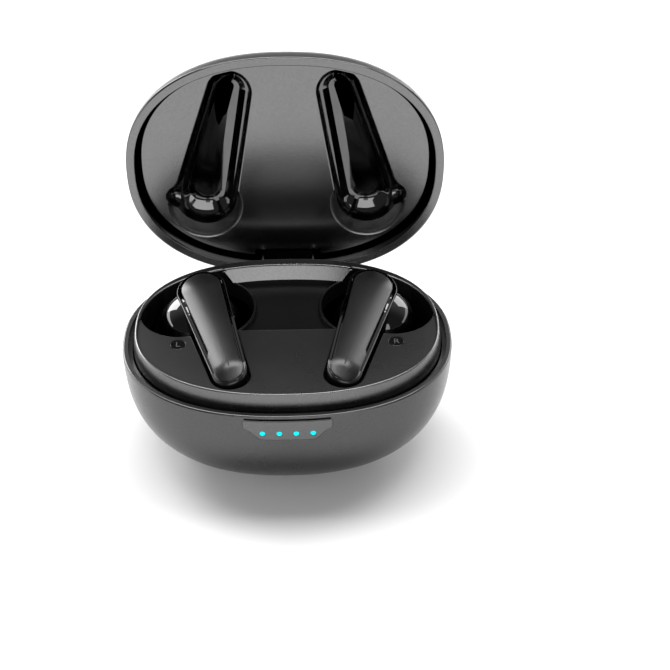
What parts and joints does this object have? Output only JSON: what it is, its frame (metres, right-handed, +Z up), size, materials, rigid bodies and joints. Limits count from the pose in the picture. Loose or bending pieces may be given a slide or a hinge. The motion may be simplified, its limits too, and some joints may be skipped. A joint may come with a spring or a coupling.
{
  "type": "wireless earbuds case",
  "caption": "Oval flip-lid charging case, shown open, with stemmed earbuds lying in gloss black wells, a sprung-pin tray, a rear hinge and status lights at the front.",
  "frame": {"origin": "centre of the flat foot of the base", "axes": "+Z up, +X to the right seen from the front, +Y to the back, where the hinge is"},
  "size_m": [0.062, 0.0629, 0.0668],
  "materials": {
    "shell_satin": "satin dark grey moulded plastic",
    "deck_matte": "fine-textured matte deck with a satin lip",
    "liner_satin": "satin face with polished black grooves",
    "well_gloss": "polished piano black",
    "mark_gloss": "polished black inlay",
    "window_smoke": "smoked translucent plastic, satin",
    "led_cyan": "clear light pipe, lit cyan",
    "battery_wrap": "foil wrap",
    "board_green": "solder mask",
    "coil_copper": "enamelled copper winding",
    "ferrite_black": "dull black",
    "steel": "stamped steel",
    "block_plastic": "black insulating plastic",
    "magnet_nickel": "nickel plated",
    "contact_gold": "gold plated",
    "bud_gloss": "polished black",
    "bud_cap_satin": "satin grey rim",
    "face_plate_satin": "satin dark grey",
    "tip_silicone": "soft silicone"
  },
  "bodies": {
    "base": {"base_shell": "shell_satin", "tray": "deck_matte", "bud_well_left": "well_gloss", "bud_well_right": "well_gloss", "side_mark_left": "mark_gloss", "side_mark_right": "mark_gloss", "led_window": "window_smoke", "led_1": "led_cyan", "led_2": "led_cyan", "led_3": "led_cyan", "led_4": "led_cyan", "battery_cell": "battery_wrap", "main_board": "board_green", "charging_coil": "coil_copper", "ferrite_sheet": "ferrite_black", "usb_c_tongue": "ferrite_black", "usb_c_shell": "steel", "hinge_bracket": "steel", "hinge_pin": "steel", "pin_block_left": "block_plastic", "pin_block_right": "block_plastic", "case_magnet_left": "magnet_nickel", "case_magnet_right": "magnet_nickel", "seat_magnet_left": "magnet_nickel", "seat_magnet_right": "magnet_nickel"},
    "lid": {"lid_shell": "shell_satin", "lid_liner": "liner_satin", "lid_hinge_leaf": "steel", "lid_magnet_left": "magnet_nickel", "lid_magnet_right": "magnet_nickel"},
    "earbud_left": {"bud_left_housing": "bud_gloss", "bud_left_stem_cap": "bud_cap_satin", "bud_left_face_plate": "face_plate_satin", "bud_left_ear_tip": "tip_silicone", "bud_left_nozzle_mesh": "steel", "bud_left_driver": "steel", "bud_left_cell": "steel", "bud_left_board": "board_green", "bud_left_magnet": "magnet_nickel", "bud_left_contact_1": "contact_gold", "bud_left_contact_2": "contact_gold"},
    "earbud_right": {"bud_right_housing": "bud_gloss", "bud_right_stem_cap": "bud_cap_satin", "bud_right_face_plate": "face_plate_satin", "bud_right_ear_tip": "tip_silicone", "bud_right_nozzle_mesh": "steel", "bud_right_driver": "steel", "bud_right_cell": "steel", "bud_right_board": "board_green", "bud_right_magnet": "magnet_nickel", "bud_right_contact_1": "contact_gold", "bud_right_contact_2": "contact_gold"},
    "charge_pin_left_1": {"charge_pin_left_1": "contact_gold"},
    "charge_pin_left_2": {"charge_pin_left_2": "contact_gold"},
    "charge_pin_right_1": {"charge_pin_right_1": "contact_gold"},
    "charge_pin_right_2": {"charge_pin_right_2": "contact_gold"}
  },
  "joints": [
    {"name": "lid_hinge", "type": "hinge", "parent": "base", "child": "lid", "pos_m": [0, 0.02227, 0.0213], "axis": [-1, 0, 0], "range_deg": [-94, 0]},
    {"name": "earbud_left_lift", "type": "slide", "parent": "base", "child": "earbud_left", "axis": [0, 0, 1], "range_m": [0, 0.045]},
    {"name": "earbud_right_lift", "type": "slide", "parent": "base", "child": "earbud_right", "axis": [0, 0, 1], "range_m": [0, 0.045]},
    {"name": "charge_pin_left_1_press", "type": "slide", "parent": "base", "child": "charge_pin_left_1", "axis": [0, 0, 1], "range_m": [-0.0005, 0], "stiffness_N_per_m": 200, "springref_m": 0.0005},
    {"name": "charge_pin_left_2_press", "type": "slide", "parent": "base", "child": "charge_pin_left_2", "axis": [0, 0, 1], "range_m": [-0.0005, 0], "stiffness_N_per_m": 200, "springref_m": 0.0005},
    {"name": "charge_pin_right_1_press", "type": "slide", "parent": "base", "child": "charge_pin_right_1", "axis": [0, 0, 1], "range_m": [-0.0005, 0], "stiffness_N_per_m": 200, "springref_m": 0.0005},
    {"name": "charge_pin_right_2_press", "type": "slide", "parent": "base", "child": "charge_pin_right_2", "axis": [0, 0, 1], "range_m": [-0.0005, 0], "stiffness_N_per_m": 200, "springref_m": 0.0005}
  ]
}
